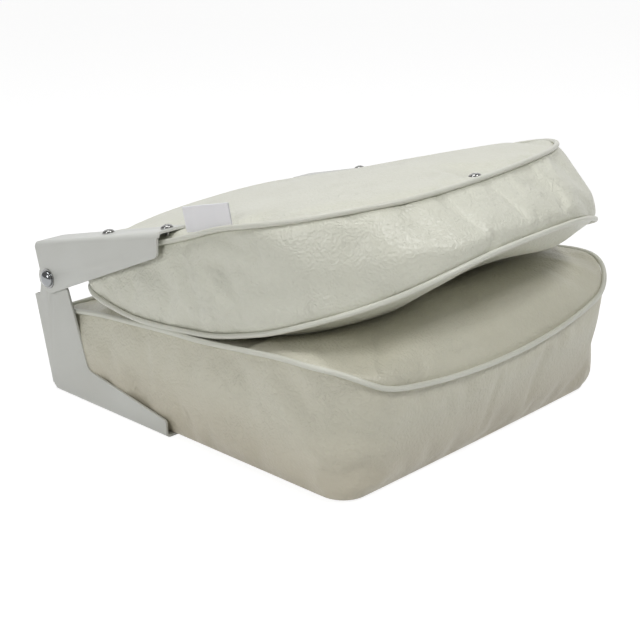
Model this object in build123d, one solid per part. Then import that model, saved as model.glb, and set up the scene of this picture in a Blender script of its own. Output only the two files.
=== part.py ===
from build123d import *
import math
import os

# Folding boat seat: an upholstered seat and backrest joined by a pair of sheet-steel hinge brackets,
# modelled folded, with the backrest lying face down on the seat.
# Origin: centre of the mounting bolt pattern, on the underside of the seat board.
# +X is the sitter's left, -Y the front edge of the seat, +Z up. All sizes are in millimetres.

# Sheet steel of the brackets
steel = 2.6
bend_inside = 3.2
corner_round = 4.0

# Vinyl cover, welt cord and hem
vinyl = 1.2
welt_width = 4.6
welt_height = 7.2
welt_above = 3.0
welt_step = 1.3
hem_reach = 26.0

# Seat board and cushion
seat_width = 400.0
seat_depth = 418.0
board_thickness = 12.5
board_easing = 0.5
seat_front_corner = 38.0
seat_rear_corner = 28.0
seat_waist_height = 60.0
seat_waist_bulge = 4.0
seat_waist_bow = 13.0
seat_shoulder_height = 150.0
seat_shoulder_widening = 13.0
seat_shoulder_overhang = 17.0
seat_shoulder_bow = 28.0
seat_bottom_bow = 1.5
seat_rear_height = 76.0
seat_front_height = 127.5
seat_roll_width = 42.0
seat_press_drop = 5.2

# Mounting pattern in the board: quarter-inch tee nuts on five-inch centres
mount_pitch = 127.0
mount_bore = 3.2
tee_barrel = 4.0
tee_flange = 9.5
tee_flange_thickness = 1.2
bolt_pocket = 12.0

# Fold of the backrest
pivot_y = 201.7
pivot_z = 124.6
fold_tilt = 14.1

# Backrest: s runs along it from the pivot, w across its thickness from the pivot to the rear panel
back_start = 40.0
back_rear_inset = 3.0
back_front_overhang = 2.0
back_waist_bulge = 2.0
back_rear_tip = 414.0
back_front_tip = 452.0
back_corner = 108.0
back_hinge_corner = 31.0
back_bow = 16.0
back_rear_w = 35.0
back_waist_w = -8.0
back_reach = 76.0
back_rear_crown = 58.0
back_depth = 72.0
back_board_thickness = 9.5
back_board_w = 13.0
back_board_start = 66.0
back_board_tip = 404.0
back_board_inset = 4.0
back_board_hinge_corner = 20.0
back_board_corner = 105.0
back_front_roll = 46.0
flange_seat_gap = 0.4

# Where the two cushions press on each other when folded: a straight line seen from the side
press_gap = 1.0
press_rear_y = 112.0
press_rear_z = 104.9
press_front_y = -76.0
press_front_z = 117.0

# Lower bracket, bolted under the seat board
lower_gap = 5.8
foot_length = 189.3
foot_heel_y = 212.8
foot_flange_width = 46.0
toe_height = 18.5
toe_slope = 9.4
upright_lean = 18.7
upright_y = 146.7
upright_fillet = 10.0
rear_lean = 12.8
rear_length = 105.5
rear_flange_width = 34.0
rear_flange_chamfer = 10.0
rear_lip = 7.0
notch_depth = 13.3
bend_relief = 7.0
head_radius = 15.8

# Upper bracket, screwed to the rear panel of the backrest
plate_gap = 0.8
flange_height = 39.5
flange_width = 38.0
flange_start = -12.0
flange_end = 195.0
upper_front_low = 187.5
upper_front_depth = 24.2
upper_front_corner = 7.0
upper_rear_drop = 29.0

# Pivot bolt
bolt_radius = 4.7
bolt_clearance = 0.05
bolt_head_radius = 8.6
bolt_head_height = 5.2
washer_radius = 10.4
washer_thickness = 1.3
spacer_radius = 11.5
side_play = 0.1
nut_across = 14.3
nut_thickness = 6.5
bolt_end = 2.0

# Screws
screw_radius = 2.4
screw_head_radius = 6.3
screw_head_height = 3.0
recess_length = 6.4
recess_width = 1.5
recess_depth = 1.9
screw_hole_clearance = 0.4
screw_inset = 22.8
screw_rear_s = 89.3
screw_front_s = 183.5
panel_screw_s = 412.0
panel_screw_w = 39.9
small_tee_barrel = 3.4
small_tee_flange = 7.0
small_tee_thickness = 1.0
wood_screw_radius = 2.2
wood_screw_head = 4.4
wood_screw_length = 14.0
wood_screw_inset = 22.0
wood_screw_end_distance = 26.0

# Staples of the hem
staple_crown = 10.0
staple_wire = 0.7
staple_leg = 7.0
staple_pitch = 58.0
staple_inset = 14.0

# Side tag sewn into the rear seam of the backrest
tag_start = 221.0
tag_length = 64.0
tag_height = 24.5
tag_ply = 0.5
tag_loop = 1.8
tag_seam_gap = 1.6
tag_seat_share = 0.60

# Overrun of every cut, and the smallest rise that an arc is given
overrun = 12.0
least_rise = 0.4

# Shares of a shoulder's width and rise at which its roll is fullest
roll_out_share = 0.62
roll_up_share = 0.70

hem = vinyl
floor_z = -hem - steel
lower_outer_x = seat_width / 2 + lower_gap + steel
upper_inner_x = lower_outer_x + plate_gap
upper_outer_x = upper_inner_x + steel
screw_x = upper_outer_x - screw_inset


def save(part, name):
    export_step(part, os.path.join("parts", name + ".step"))


def joined(shapes, name):
    """Several separate solids of one kind, kept in one node."""
    group = Compound(children=[solid for shape in shapes for solid in shape.solids()])
    group.label = name
    return group


def both_sides(shape):
    return [shape, mirror(shape, about=Plane.YZ)]


def tangent_point(point, centre, radius, side):
    """Where a straight edge from a point touches a round end; side is +1 or -1."""
    away = math.atan2(point[1] - centre[1], point[0] - centre[0])
    turn = side * math.acos(radius / math.dist(point, centre))
    return (centre[0] + radius * math.cos(away + turn), centre[1] + radius * math.sin(away + turn))


# Plan outlines and crowned cross-sections of the cushions


def outline(half_rear, half_front, rear, front, bow, rear_corner, front_corner):
    """Plan of a cushion: sides that widen to a bowed front, and four rounded corners."""
    edges = [
        Line((half_rear, rear), (-half_rear, rear)),
        Line((-half_rear, rear), (-half_front, front)),
        ThreePointArc((-half_front, front), (0, front - bow), (half_front, front)),
        Line((half_front, front), (half_rear, rear)),
    ]
    plan = make_face(edges)
    plan = fillet(plan.vertices().sort_by(Axis.Y)[:2], front_corner)
    return fillet(plan.vertices().sort_by(Axis.Y)[-2:], rear_corner)


def crowned_edges(half, edge, roll, lift, crown):
    """Face of a cushion across its width: a rolled shoulder at each side, a low crown between."""
    inner = half - roll
    full_x = inner + roll * roll_out_share
    full_z = edge + lift * roll_up_share
    top = edge + lift
    return [
        ThreePointArc((-half, edge), (-full_x, full_z), (-inner, top)),
        ThreePointArc((-inner, top), (0, top + crown), (inner, top)),
        ThreePointArc((inner, top), (full_x, full_z), (half, edge)),
    ]


def section_plane(y):
    return Plane(origin=(0, y, 0), x_dir=(1, 0, 0), z_dir=(0, -1, 0))


# Seat: levels of its plan, and stations of its top from the rear to the front

seat_half = seat_width / 2
seat_rear = seat_depth / 2


def seat_plan(inset, bulge, rear_bulge, overhang, bow):
    front_half = seat_half + bulge - inset
    rear = seat_rear + rear_bulge - inset
    front = -seat_rear - overhang + inset
    corners = (seat_rear_corner - inset, seat_front_corner - inset)
    return outline(seat_half - inset, front_half, rear, front, bow, *corners)


def seat_levels(inset):
    """Plans of the seat at its hem, waist and shoulder, drawn in by an inset."""
    hem_level = seat_plan(inset, 0, 0, 0, seat_bottom_bow)
    waist = seat_plan(inset, seat_waist_bulge, vinyl, seat_waist_bulge, seat_waist_bow)
    shoulder = seat_plan(inset, seat_shoulder_widening, 0, seat_shoulder_overhang, seat_shoulder_bow)
    return [
        Pos(0, 0, -hem) * hem_level,
        Pos(0, 0, seat_waist_height) * waist,
        Pos(0, 0, seat_shoulder_height) * shoulder,
    ]


press_slope = (press_front_z - press_rear_z) / (press_rear_y - press_front_y)


def press_z(y):
    """Height at which the two cushions meet when folded."""
    return press_rear_z + (press_rear_y - y) * press_slope


# Seat top, station by station from rear to front: y as a share of the half depth, then the height
# at the side seams and at the middle, as shares of the way from the rear seam to the front shoulder.
seat_top_shares = [
    (1.08, -0.02, 0.00),
    (0.88, 0.29, 0.35),
    (-0.76, 1.03, 1.09),
    (-0.93, 1.06, 1.12),
    (-1.03, 0.90, 0.95),
    (-1.12, 0.50, 0.53),
    (-1.27, -0.20, -0.18),
]


def seat_top_stations():
    rise = seat_front_height - seat_rear_height
    stations = []
    for y_share, edge_share, middle_share in seat_top_shares:
        edge = seat_rear_height + rise * edge_share
        middle = seat_rear_height + rise * middle_share
        stations.append((seat_rear * y_share, edge, middle))
    for y in (press_rear_y, press_front_y):
        stations.append((y, press_z(y) - seat_press_drop, press_z(y) - press_gap / 2))
    return sorted(stations, reverse=True)


def seat_slab(shift, base):
    """Everything under the seat's crowned top, moved up by shift, down to a flat base."""
    half = seat_half + seat_shoulder_widening + welt_width * 2
    sections = []
    for y, edge, middle in seat_top_stations():
        lift = (middle - edge) / 2
        rim = crowned_edges(half, edge + shift, seat_roll_width, lift, lift)
        rim.append(Line((half, edge + shift), (half, base)))
        rim.append(Line((half, base), (-half, base)))
        rim.append(Line((-half, base), (-half, edge + shift)))
        sections.append(section_plane(y) * make_face(rim))
    return loft(sections, ruled=True)


def block_above(z, height):
    """A block wider than the part, from a level z upwards."""
    span = seat_width * 4
    return Pos(0, 0, z) * extrude(Rectangle(span, span), height)


def tee_nut(barrel, flange, thickness, bore, board):
    """A tee nut pressed through a board: barrel down from z = 0, flange lying on the board."""
    body = extrude(Circle(flange), thickness) + extrude(Circle(barrel), -board)
    return body - Pos(0, 0, -board) * extrude(Circle(bore), board + thickness)


# Staples that hold the hem to the board


def staple():
    """A staple seen from below: its crown on the hem, two legs up into the board."""
    crown = Pos(0, 0, -staple_wire / 2) * Box(staple_crown, staple_wire, staple_wire)
    for side in (-1, 1):
        leg_x = side * (staple_crown - staple_wire) / 2
        crown += Pos(leg_x, 0, staple_leg / 2) * Box(staple_wire, staple_wire, staple_leg)
    return crown


def staple_row(length):
    """Even places along one side of the board, clear of its corners."""
    count = round(length / staple_pitch)
    step = length / count
    return [(index - (count - 1) / 2) * step for index in range(count)]


hem_line_x = seat_half - staple_inset
hem_line_y = seat_rear - staple_inset
staples = []
for place_x in staple_row(seat_width - hem_reach * 2):
    for side_y in (-1, 1):
        staples.append(Pos(place_x, side_y * hem_line_y, -hem) * staple())
side_row_front = -seat_rear + hem_reach
side_row_rear = foot_heel_y - foot_length - hem_reach
side_row_middle = (side_row_front + side_row_rear) / 2
for place_y in staple_row(side_row_rear - side_row_front):
    for side_x in (-1, 1):
        place = Pos(side_x * hem_line_x, side_row_middle + place_y, -hem)
        staples.append(place * Rot(0, 0, 90) * staple())
seat_staples = joined(staples, "seat_staples")


# Wood screws of the lower brackets


def wood_screw():
    """A flat-head wood screw, its head flush with z = 0 and its point up."""
    cone = wood_screw_head - wood_screw_radius
    head = Pos(0, 0, cone / 2) * Cone(wood_screw_head, wood_screw_radius, cone)
    return head + extrude(Circle(wood_screw_radius), wood_screw_length)


def wood_screw_places(side):
    """Two places along the foot of a bracket; side is +1 on the sitter's left."""
    rear = foot_heel_y - bend_relief - wood_screw_end_distance
    front = foot_heel_y - foot_length + wood_screw_end_distance
    return [Pos(side * (lower_outer_x - wood_screw_inset), y, floor_z) for y in (rear, front)]


wood_screws = [place * wood_screw() for side in (-1, 1) for place in wood_screw_places(side)]


# Seat board, tee nuts and cushion

mount_offset = mount_pitch / 2
mount_places = []
for side_x in (-1, 1):
    for side_y in (-1, 1):
        mount_places.append(Pos(side_x * mount_offset, side_y * mount_offset, board_thickness))

board_inset = vinyl + board_easing
seat_tee_nut = tee_nut(tee_barrel, tee_flange, tee_flange_thickness, mount_bore, board_thickness)
seat_tee_nuts = joined([place * seat_tee_nut for place in mount_places], "seat_tee_nuts")
seat_board = extrude(seat_plan(board_inset, 0, 0, 0, seat_bottom_bow), board_thickness)
for place in mount_places:
    seat_board -= place * extrude(Circle(tee_barrel), -board_thickness)
for fastener in (*staples, *wood_screws):
    seat_board -= fastener

seat_outer = loft(seat_levels(0), ruled=True)
seat_inner = loft(seat_levels(vinyl), ruled=True)
seat_under_top = seat_slab(-vinyl, -overrun)
seat_core = seat_outer & seat_under_top
seat_top_panel = (seat_outer & seat_slab(0, -overrun)) - seat_under_top
hem_face = seat_plan(vinyl / 2, 0, 0, 0, seat_bottom_bow) - seat_plan(hem_reach, 0, 0, 0, seat_bottom_bow)
turned_hem = Pos(0, 0, -hem) * extrude(hem_face, hem)
for fastener in (*staples, *wood_screws):
    turned_hem -= fastener
seat_boxing = (seat_core - seat_inner) + turned_hem
seat_foam = seat_core & seat_inner & block_above(board_thickness, seat_shoulder_height)
seat_foam -= seat_tee_nuts
for place in mount_places:
    seat_foam -= place * extrude(Circle(tee_barrel), bolt_pocket)


def seat_ring(width):
    """The space round the boxing of the seat, out to a width."""
    return loft(seat_levels(-width)[1:], ruled=True)


def seat_band(above, below):
    """The space between two positions of the seat's top."""
    return seat_slab(above, -overrun) - seat_slab(-below, -overrun * 2)


welt_below = welt_height - welt_above
welt_shoulder = welt_width - welt_step
seat_welt = (seat_ring(welt_width) - seat_outer) & seat_band(welt_above, welt_below)
seat_welt -= (seat_ring(welt_width * 2) - seat_ring(welt_shoulder)) - seat_band(
    welt_above - welt_step, welt_below - welt_step
)


# Backrest, built lying flat at the pivot: x across, -s along y, w along z, then tilted into place

back_half = seat_half - back_rear_inset
back_front_half = seat_half + back_front_overhang
fold_place = Pos(0, pivot_y, pivot_z) * Rot(-fold_tilt, 0, 0)


def to_back(y, z):
    """The s and w of a place that is given in the frame of the whole seat."""
    tilt = math.radians(fold_tilt)
    along = (pivot_y - y) * math.cos(tilt) + (z - pivot_z) * math.sin(tilt)
    across = (y - pivot_y) * math.sin(tilt) + (z - pivot_z) * math.cos(tilt)
    return along, across


def back_plan(inset, half, tip):
    start = -back_start - inset
    corners = (back_hinge_corner - inset, back_corner - inset)
    return outline(half - inset, half - inset, start, -tip + inset, back_bow, *corners)


def back_levels(inset):
    """The boxing of the backrest, lofted from its front seam past its rear seam."""
    waist_half = back_front_half + back_waist_bulge
    waist_tip = back_front_tip - back_waist_bulge
    beyond_w = back_rear_w * 2 - back_waist_w
    levels = [
        Pos(0, 0, -back_reach) * back_plan(inset, back_front_half, back_front_tip),
        Pos(0, 0, back_waist_w) * back_plan(inset, waist_half, waist_tip),
        Pos(0, 0, beyond_w) * back_plan(inset, back_half * 2 - waist_half, back_rear_tip * 2 - waist_tip),
    ]
    return loft(levels, ruled=True)


# Backrest faces, station by station from the hinge end to the top: s as a share of its front length,
# the rear face at its side seams, at its shoulders and at its middle as shares of the rear crown,
# and the front face at its side seams and at its middle as shares of the depth.
back_face_shares = [
    (0.062, 0.38, 0.48, 0.54, -0.06, -0.10),
    (0.125, 0.41, 0.57, 0.76, -0.27, -0.40),
    (0.280, 0.44, 0.61, 0.94, -0.64, -0.76),
    (0.480, 0.52, 0.62, 1.01, -0.84, -0.97),
    (0.690, 0.62, 0.72, 0.95, -0.83, -1.00),
    (0.860, 0.66, 0.68, 0.73, -0.64, -0.86),
    (0.945, 0.61, 0.62, 0.63, -0.50, -0.72),
    (1.040, 0.50, 0.51, 0.52, -0.22, -0.38),
]


def back_stations():
    stations = []
    length = back_front_tip + back_bow
    seat_level = flange_height - steel - flange_seat_gap
    for s_share, rear_edge, rear_shoulder, rear_middle, front_edge, front_middle in back_face_shares:
        s = length * s_share
        shoulder = back_rear_crown * rear_shoulder
        if s < flange_end:
            shoulder = min(shoulder, seat_level)
        front = (back_depth * front_edge, back_depth * front_middle)
        stations.append((s, back_rear_crown * rear_edge, shoulder, back_rear_crown * rear_middle, *front))
    return stations


def pressed_middle(s, middle):
    """The front face's middle, held up to where the seat cushion presses on it."""
    rear_s, rear_w = to_back(press_rear_y, press_rear_z + press_gap / 2)
    front_s, front_w = to_back(press_front_y, press_front_z + press_gap / 2)
    slope = (front_w - rear_w) / (front_s - rear_s)
    return max(middle, rear_w + (s - rear_s) * slope)


def back_slab(rear_shift, front_shift):
    """Everything between the backrest's two faces, each moved outwards by its shift."""
    half = back_front_half + back_waist_bulge + welt_width * 2
    rear_roll = half - (upper_outer_x - flange_width - bend_inside)
    sections = []
    for s, rear_edge, shoulder, rear_middle, front_edge, front_middle in back_stations():
        rear_edge += rear_shift
        front_edge -= front_shift
        rear_lift = shoulder + rear_shift - rear_edge
        front_lift = (pressed_middle(s, front_middle) - front_shift - front_edge) / 2
        rim = crowned_edges(half, rear_edge, rear_roll, rear_lift, rear_middle - shoulder)
        rim += crowned_edges(half, front_edge, back_front_roll, front_lift, front_lift)
        rim.append(Line((half, rear_edge), (half, front_edge)))
        rim.append(Line((-half, front_edge), (-half, rear_edge)))
        sections.append(section_plane(-s) * make_face(rim))
    return loft(sections, ruled=True)


def pan_screw(radius, length):
    """A truss-head screw standing on z = 0, its shank down."""
    head = extrude(Circle(screw_head_radius), screw_head_height)
    head = chamfer(head.edges().sort_by(Axis.Z)[-1], screw_head_height / 2, screw_head_height)
    recess = Pos(0, 0, screw_head_height - recess_depth)
    slots = Rectangle(recess_length, recess_width) + Rectangle(recess_width, recess_length)
    head -= recess * extrude(slots, screw_head_height)
    return head + extrude(Circle(radius), -length)


back_outer = back_levels(0)
back_inner = back_levels(vinyl)
rear_body = back_outer & back_slab(0, 0)
back_core = back_outer & back_slab(-vinyl, -vinyl)
back_rear_panel = rear_body - back_slab(-vinyl, overrun)
back_front_panel = rear_body - back_slab(overrun, -vinyl)
back_boxing = back_core - back_inner
back_padding = back_core & back_inner

board_half = seat_half - back_board_inset
board_corners = (back_board_hinge_corner, back_board_corner)
board_ends = (-back_board_start, -back_board_tip, back_bow)
back_board_face = outline(board_half, board_half, *board_ends, *board_corners)
back_board = Pos(0, 0, back_board_w) * extrude(back_board_face, back_board_thickness)

screw_places = []
for side_x in (-1, 1):
    for screw_s in (screw_rear_s, screw_front_s):
        screw_places.append(Pos(side_x * screw_x, -screw_s, flange_height))
panel_screw_place = Pos(0, -panel_screw_s, panel_screw_w)
bracket_screw = pan_screw(screw_radius, flange_height - back_board_w + small_tee_thickness)
panel_screw = pan_screw(screw_radius, panel_screw_w - back_board_w + small_tee_thickness)
small_tee_sizes = (small_tee_barrel, small_tee_flange, small_tee_thickness)
small_tee = tee_nut(*small_tee_sizes, screw_radius, back_board_thickness)
bracket_screws = [place * bracket_screw for place in screw_places]
top_screw = panel_screw_place * panel_screw
tee_places = []
for place in (*screw_places, panel_screw_place):
    tee_places.append(Pos(place.position.X, place.position.Y, back_board_w))
small_tees = [place * Rot(180, 0, 0) * small_tee for place in tee_places]
for place in tee_places:
    back_board -= place * extrude(Circle(small_tee_barrel), back_board_thickness)

back_foam = back_padding - block_above(back_board_w, back_reach)
rear_pad = (back_padding & block_above(back_board_w, back_reach)) - Pos(0, 0, back_board_w) * extrude(
    back_board_face, back_board_thickness
)
for place in tee_places:
    back_foam -= place * Rot(180, 0, 0) * extrude(Circle(small_tee_flange), small_tee_thickness)
for place in screw_places:
    shank = place * extrude(Circle(screw_radius), back_board_w - flange_height)
    rear_pad -= shank
    back_rear_panel -= shank
head_seat = panel_screw_place * extrude(Circle(screw_head_radius), screw_head_height * 2)
for cut in (head_seat, panel_screw_place * extrude(Circle(screw_radius), back_board_w - panel_screw_w)):
    rear_pad -= cut
    back_rear_panel -= cut


def rear_band(above, below):
    """The space between two positions of the rear face."""
    return back_slab(above, overrun) - back_slab(-below, overrun * 2)


def front_band(above, below):
    """The space between two positions of the front face."""
    return back_slab(overrun, above) - back_slab(overrun * 2, -below)


around_back = back_levels(-welt_width) - back_outer
beside_welt = back_levels(-welt_width * 2) - back_levels(-welt_shoulder)
back_rear_welt = around_back & rear_band(welt_above, welt_below)
back_rear_welt -= beside_welt - rear_band(welt_above - welt_step, welt_below - welt_step)
back_front_welt = around_back & front_band(welt_above, welt_below)
back_front_welt -= beside_welt - front_band(welt_above - welt_step, welt_below - welt_step)


# Side tag: a folded loop of tape standing in the rear seam on the sitter's right


def side_tag():
    outer = Rectangle(tag_loop, tag_height)
    outer = fillet(outer.vertices().sort_by(Axis.Y)[-2:], tag_loop / 2 - tag_ply / 4)
    inner = Pos(0, -tag_ply) * Rectangle(tag_loop - tag_ply * 2, tag_height)
    profile = Pos(0, tag_height / 2) * (outer - inner)
    seam_w = back_rear_crown * tag_seat_share
    tag_x = tag_seam_gap - back_half
    place = Plane(origin=(tag_x, -tag_start, seam_w), x_dir=(1, 0, 0), z_dir=(0, -1, 0))
    return extrude(place * profile, tag_length)


# Hinge brackets, drawn for the sitter's left and mirrored


def bent_flange(width, length):
    """A flange with its bend: u inwards from the plate's outside, v along the plate from the flange."""
    bend = bend_inside + steel
    middle = bend_inside * (1 - math.sqrt(0.5))
    outer_middle = bend * (1 - math.sqrt(0.5))
    edges = Polyline((bend, 0), (width, 0), (width, steel), (bend, steel))
    edges += ThreePointArc((bend, steel), (steel + middle, steel + middle), (steel, bend))
    edges += Line((steel, bend), (0, bend))
    edges += ThreePointArc((0, bend), (outer_middle, outer_middle), (bend, 0))
    return extrude(make_face(edges), length)


def lower_bracket():
    """Side plate, foot flange under the board and rear flange up the back, folded from one sheet."""
    lean = math.radians(rear_lean)
    front_lean = math.radians(upright_lean)
    slope = math.radians(toe_slope)
    bend = bend_inside + steel
    heel = (foot_heel_y, floor_z)
    toe = (foot_heel_y - foot_length, floor_z)
    toe_top = (toe[0], floor_z + toe_height)
    crook = (upright_y, toe_top[1] + (upright_y - toe[0]) * math.tan(slope))
    rise = pivot_z - head_radius / 2 - crook[1]
    front_top = (crook[0] + rise * math.tan(front_lean), crook[1] + rise)
    up = (math.sin(lean), math.cos(lean))
    inwards = (-math.cos(lean), math.sin(lean))
    notch_out = (heel[0] + rear_length * up[0], heel[1] + rear_length * up[1])
    notch_in = (notch_out[0] + notch_depth * inwards[0], notch_out[1] + notch_depth * inwards[1])
    pivot = (pivot_y, pivot_z)
    front_touch = tangent_point(front_top, pivot, head_radius, -1)
    rear_touch = tangent_point(notch_in, pivot, head_radius, 1)
    crown = (pivot_y, pivot_z + head_radius)
    edges = Polyline(rear_touch, notch_in, notch_out, heel, toe, toe_top, crook, front_top, front_touch)
    edges += ThreePointArc(front_touch, crown, rear_touch)
    side = make_face(edges)
    side = fillet(side.vertices().sort_by_distance(Vertex(*crook, 0))[0], upright_fillet)
    side = fillet(side.vertices().sort_by_distance(Vertex(*toe_top, 0))[0], corner_round)
    side -= Pos(*pivot) * Circle(bolt_radius)
    side -= Pos(*heel) * Rectangle(foot_length * 3, bend * 2)
    side -= Pos(*heel) * Rot(0, 0, -rear_lean) * Pos(0, rear_length) * Rectangle(bend * 2, rear_length * 3)
    plate = extrude(Plane.YZ.offset(lower_outer_x - steel) * side, steel)

    inward = (-1, 0, 0)
    foot_plane = Plane(origin=(lower_outer_x, *toe), x_dir=inward, z_dir=(0, 1, 0))
    foot = foot_plane * bent_flange(foot_flange_width, foot_length - bend_relief)
    foot = fillet(foot.edges().filter_by(Axis.Z).sort_by(Axis.X)[:2], corner_round * 2)
    for place in wood_screw_places(1):
        foot -= place * wood_screw()
    rear_plane = Plane(origin=(lower_outer_x, *heel), x_dir=inward, z_dir=(0, *up))
    rear = Pos(0, 0, bend_relief) * bent_flange(rear_flange_width, rear_length - bend_relief)
    corner = Polyline(
        (rear_lip, rear_length),
        (rear_flange_width, rear_length - rear_flange_chamfer * 2),
        (rear_flange_width + overrun, rear_length + overrun),
        (rear_lip, rear_length + overrun),
        (rear_lip, rear_length),
    )
    rear -= Plane.XZ.offset(-overrun) * extrude(make_face(corner), overrun * 2)
    return plate + foot + rear_plane * rear


def upper_bracket():
    """Side plate and the flange on the rear panel, in the backrest's own flat frame."""
    pivot = (0, 0)
    front_low = (-upper_front_low, flange_height - upper_front_depth)
    front_high = (-flange_end, flange_height)
    low_touch = tangent_point(front_low, pivot, head_radius, 1)
    rear_high = (-flange_start, flange_height)
    rear_low = (-flange_start, flange_height - upper_rear_drop)
    end_angle = math.asin(rear_low[1] / head_radius)
    end = (head_radius * math.cos(end_angle), rear_low[1])
    lowest = (0, -head_radius)
    edges = Polyline(low_touch, front_low, front_high, rear_high, end)
    edges += ThreePointArc(end, lowest, low_touch)
    side = make_face(edges)
    side = fillet(side.vertices().sort_by_distance(Vertex(*front_low, 0))[0], upper_front_corner)
    side -= Circle(bolt_radius + bolt_clearance)
    side -= Pos(0, flange_height) * Rectangle(flange_end * 3, (bend_inside + steel) * 2)
    plate = extrude(Plane.YZ.offset(upper_inner_x) * side, steel)
    flange_corner = (upper_outer_x, -flange_start, flange_height)
    flange_plane = Plane(origin=flange_corner, x_dir=(-1, 0, 0), z_dir=(0, -1, 0))
    flange = flange_plane * bent_flange(flange_width, flange_end - flange_start)
    flange = fillet(flange.edges().filter_by(Axis.Z).sort_by(Axis.X)[:2], corner_round)
    body = plate + flange
    for screw_s in (screw_rear_s, screw_front_s):
        hole = Circle(screw_radius + screw_hole_clearance)
        body -= Pos(screw_x, -screw_s, flange_height - steel) * extrude(hole, steel)
    return body


# Pivot: a dome-headed bolt through both plates, washer outside, spacer between, lock nut inside


def along_x(x):
    return Plane(origin=(x, pivot_y, pivot_z), x_dir=(0, 1, 0), z_dir=(1, 0, 0))


def disc(x, radius, bore, thickness):
    return extrude(along_x(x) * (Circle(radius) - Circle(bore)), thickness)


def pivot_bolt():
    start = lower_outer_x - steel - nut_thickness - bolt_end
    head_x = upper_outer_x + side_play + washer_thickness
    shank = extrude(along_x(start) * Circle(bolt_radius), head_x - start)
    head = extrude(along_x(head_x) * Circle(bolt_head_radius), bolt_head_height)
    head = fillet(head.edges().sort_by(Axis.X)[-1], bolt_head_height - least_rise)
    return shank + head


def lock_nut():
    start = lower_outer_x - steel - nut_thickness
    hexagon = RegularPolygon(nut_across / 2, 6, major_radius=False) - Circle(bolt_radius)
    return extrude(along_x(start) * hexagon, nut_thickness)


tag = side_tag() - rear_body - back_rear_welt
lower_left = lower_bracket()
upper_left = fold_place * upper_bracket()
spacer = disc(lower_outer_x, spacer_radius, bolt_radius, plate_gap - side_play)
washer = disc(upper_outer_x + side_play, washer_radius, bolt_radius, washer_thickness)

os.makedirs("parts", exist_ok=True)
save(seat_board, "seat_board")
save(seat_tee_nuts, "seat_tee_nuts")
save(seat_foam, "seat_foam")
save(seat_top_panel, "seat_top_panel")
save(seat_boxing, "seat_boxing")
save(seat_welt, "seat_welt")
save(seat_staples, "seat_staples")
save(lower_left, "lower_bracket_left")
save(mirror(lower_left, about=Plane.YZ), "lower_bracket_right")
save(joined(wood_screws, "lower_bracket_screws"), "lower_bracket_screws")
save(joined(both_sides(pivot_bolt()), "pivot_bolts"), "pivot_bolts")
save(joined(both_sides(washer), "pivot_washers"), "pivot_washers")
save(joined(both_sides(spacer), "pivot_spacers"), "pivot_spacers")
save(joined(both_sides(lock_nut()), "pivot_lock_nuts"), "pivot_lock_nuts")
save(fold_place * back_board, "back_board")
save(joined([fold_place * nut for nut in small_tees], "back_tee_nuts"), "back_tee_nuts")
save(fold_place * back_foam, "back_foam")
save(fold_place * rear_pad, "back_rear_pad")
save(fold_place * back_front_panel, "back_front_panel")
save(fold_place * back_boxing, "back_boxing")
save(fold_place * back_front_welt, "back_front_welt")
save(fold_place * back_rear_panel, "back_rear_panel")
save(fold_place * back_rear_welt, "back_rear_welt")
save(upper_left, "upper_bracket_left")
save(mirror(upper_left, about=Plane.YZ), "upper_bracket_right")
upper_screws = joined([fold_place * screw for screw in bracket_screws], "upper_bracket_screws")
save(upper_screws, "upper_bracket_screws")
save(fold_place * top_screw, "panel_top_screw")
save(fold_place * tag, "side_tag")
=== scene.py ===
import bisect
import math

import bmesh
import bpy
from mathutils import Matrix, Vector, noise


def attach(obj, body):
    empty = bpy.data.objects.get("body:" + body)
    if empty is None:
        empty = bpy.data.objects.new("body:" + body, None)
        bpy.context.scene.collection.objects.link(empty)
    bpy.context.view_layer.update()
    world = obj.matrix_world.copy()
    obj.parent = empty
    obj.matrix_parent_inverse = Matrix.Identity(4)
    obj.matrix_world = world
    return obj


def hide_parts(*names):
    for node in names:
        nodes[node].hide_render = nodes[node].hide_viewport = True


# Folding boat seat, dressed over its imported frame. Lengths in the tables are millimetres in the seat's
# own frame: x to the sitter's left, y to the rear, z up. MM turns them into metres.
MM = 0.001

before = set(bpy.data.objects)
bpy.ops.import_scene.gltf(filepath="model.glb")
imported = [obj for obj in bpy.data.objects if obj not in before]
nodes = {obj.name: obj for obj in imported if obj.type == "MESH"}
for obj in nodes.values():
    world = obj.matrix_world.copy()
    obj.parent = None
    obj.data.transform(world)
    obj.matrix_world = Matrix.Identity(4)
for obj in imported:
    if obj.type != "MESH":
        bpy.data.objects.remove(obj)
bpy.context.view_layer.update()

# Shared sizes
PIVOT_Y, PIVOT_Z, FOLD_TILT = 201.7, 124.6, math.radians(14.1)
LOOP_PARTS = (14, 9, 46, 16, 24)  # rear half, rear corner, side, front corner, front half
WELT_RADIUS, PIPING_REACH, PIPING_SIDES = 2.7, 1.5, 14
SEAM_TRIES = 12  # steps that close in on a seam's height
WALL_ROWS = 14  # rows of points up the side of a cushion
SEAM_SINK, CROWN_SINK, SINK_WIDTH = 1.2, 1.4, 5.0  # how the cover dips at a seam, and how far from it
# How far in each row of a face lies, from its seam to its middle
CROWN_SHARES = [
    0.012, 0.03, 0.055, 0.085, 0.12, 0.165, 0.215, 0.27, 0.335, 0.41, 0.495, 0.59, 0.69, 0.8, 0.91
]


def smooth_step(low, high, value):
    t = min(max((value - low) / (high - low), 0.0), 1.0)
    return t * t * (3 - 2 * t)


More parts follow.
